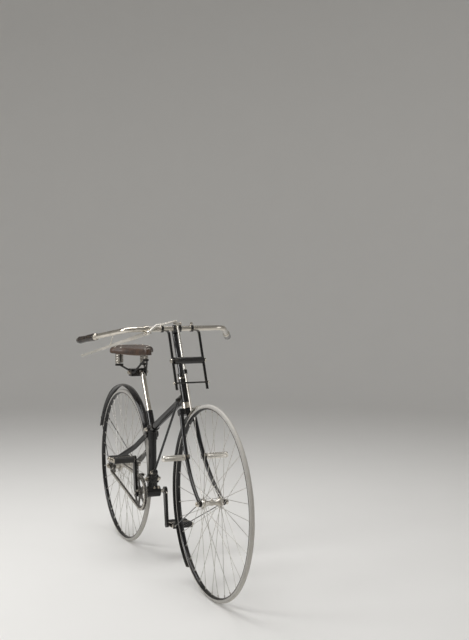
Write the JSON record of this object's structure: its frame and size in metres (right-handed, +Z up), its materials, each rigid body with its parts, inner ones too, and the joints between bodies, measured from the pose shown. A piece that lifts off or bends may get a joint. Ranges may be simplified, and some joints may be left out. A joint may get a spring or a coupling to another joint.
{
  "type": "safety bicycle",
  "caption": "Early chain-driven cross-frame safety bicycle with solid tyres, wire-spoked wheels, plunger brake, sprung leather saddle and a luggage roller on the handlebar.",
  "frame": {"origin": "seat point on the centre of the saddle top", "axes": "x forward, y to the rider's left, z up; the road is the plane z = -0.93 m"},
  "size_m": [1.8129, 0.7142, 1.0775],
  "materials": {
    "enamel": "stoved black enamel, worn to a soft gloss",
    "nickel": "warm nickel plate, slightly dulled",
    "steel": "oiled bare steel, darkened",
    "tyre": "light grey solid rubber, dusty",
    "rubber": "moulded black rubber blocks",
    "leather": "dark brown hide, polished by use",
    "horn": "dark polished horn"
  },
  "bodies": {
    "frame": {"head_tube": "enamel", "backbone": "enamel", "cross_lug": "enamel", "seat_tube": "enamel", "seat_pillar": "nickel", "rear_fork_arms": "enamel", "tie_rod": "enamel", "bottom_bracket": "enamel", "saddle_frame": "enamel", "saddle_springs": "steel", "saddle_leather": "leather", "rear_mudguard": "enamel", "rear_guard_stays": "enamel", "chain": "steel", "rear_axle": "nickel", "mounting_step": "steel"},
    "steering": {"steering_stem": "enamel", "fork_crown": "enamel", "fork_blades": "enamel", "front_axle": "nickel", "handlebar": "nickel", "grips": "horn", "brake_lever": "nickel", "brake_bracket": "nickel", "brake_plunger": "nickel", "brake_guide": "enamel", "foot_pegs": "enamel", "front_mudguard": "enamel", "front_guard_stays": "enamel", "carrier_straps": "enamel", "carrier_bars": "enamel"},
    "front_wheel": {"front_tyre": "tyre", "front_rim": "enamel", "front_spokes": "steel", "front_hub": "nickel"},
    "rear_wheel": {"rear_tyre": "tyre", "rear_rim": "enamel", "rear_spokes": "steel", "rear_hub": "nickel", "rear_sprocket": "steel"},
    "crankset": {"crank_spindle": "steel", "crank_right": "nickel", "crank_left": "nickel", "chainring": "steel"},
    "pedal_right": {"pedal_right_frame": "nickel", "pedal_right_rubbers": "rubber"},
    "pedal_left": {"pedal_left_frame": "nickel", "pedal_left_rubbers": "rubber"}
  },
  "joints": [
    {"name": "steering", "type": "hinge", "parent": "frame", "child": "steering", "pos_m": [0.61773, 0, -0.21267], "axis": [-0.4169, 0, 0.9089], "range_deg": [-40, 40]},
    {"name": "front_wheel_spin", "type": "hinge", "parent": "steering", "child": "front_wheel", "pos_m": [0.882, 0, -0.549], "axis": [0, 1, 0], "continuous": true},
    {"name": "rear_wheel_spin", "type": "hinge", "parent": "frame", "child": "rear_wheel", "pos_m": [-0.19, 0, -0.57], "axis": [0, 1, 0], "continuous": true},
    {"name": "crank_spin", "type": "hinge", "parent": "frame", "child": "crankset", "pos_m": [0.202, 0, -0.628], "axis": [0, 1, 0], "continuous": true},
    {"name": "pedal_right_spin", "type": "hinge", "parent": "crankset", "child": "pedal_right", "pos_m": [0.18085, -0.13, -0.47748], "axis": [0, 1, 0], "continuous": true},
    {"name": "pedal_left_spin", "type": "hinge", "parent": "crankset", "child": "pedal_left", "pos_m": [0.22315, 0.11, -0.77852], "axis": [0, 1, 0], "continuous": true}
  ],
  "couplings": [
    {"joint": "crank_spin", "follows": "rear_wheel_spin", "ratio": 0.5}
  ]
}
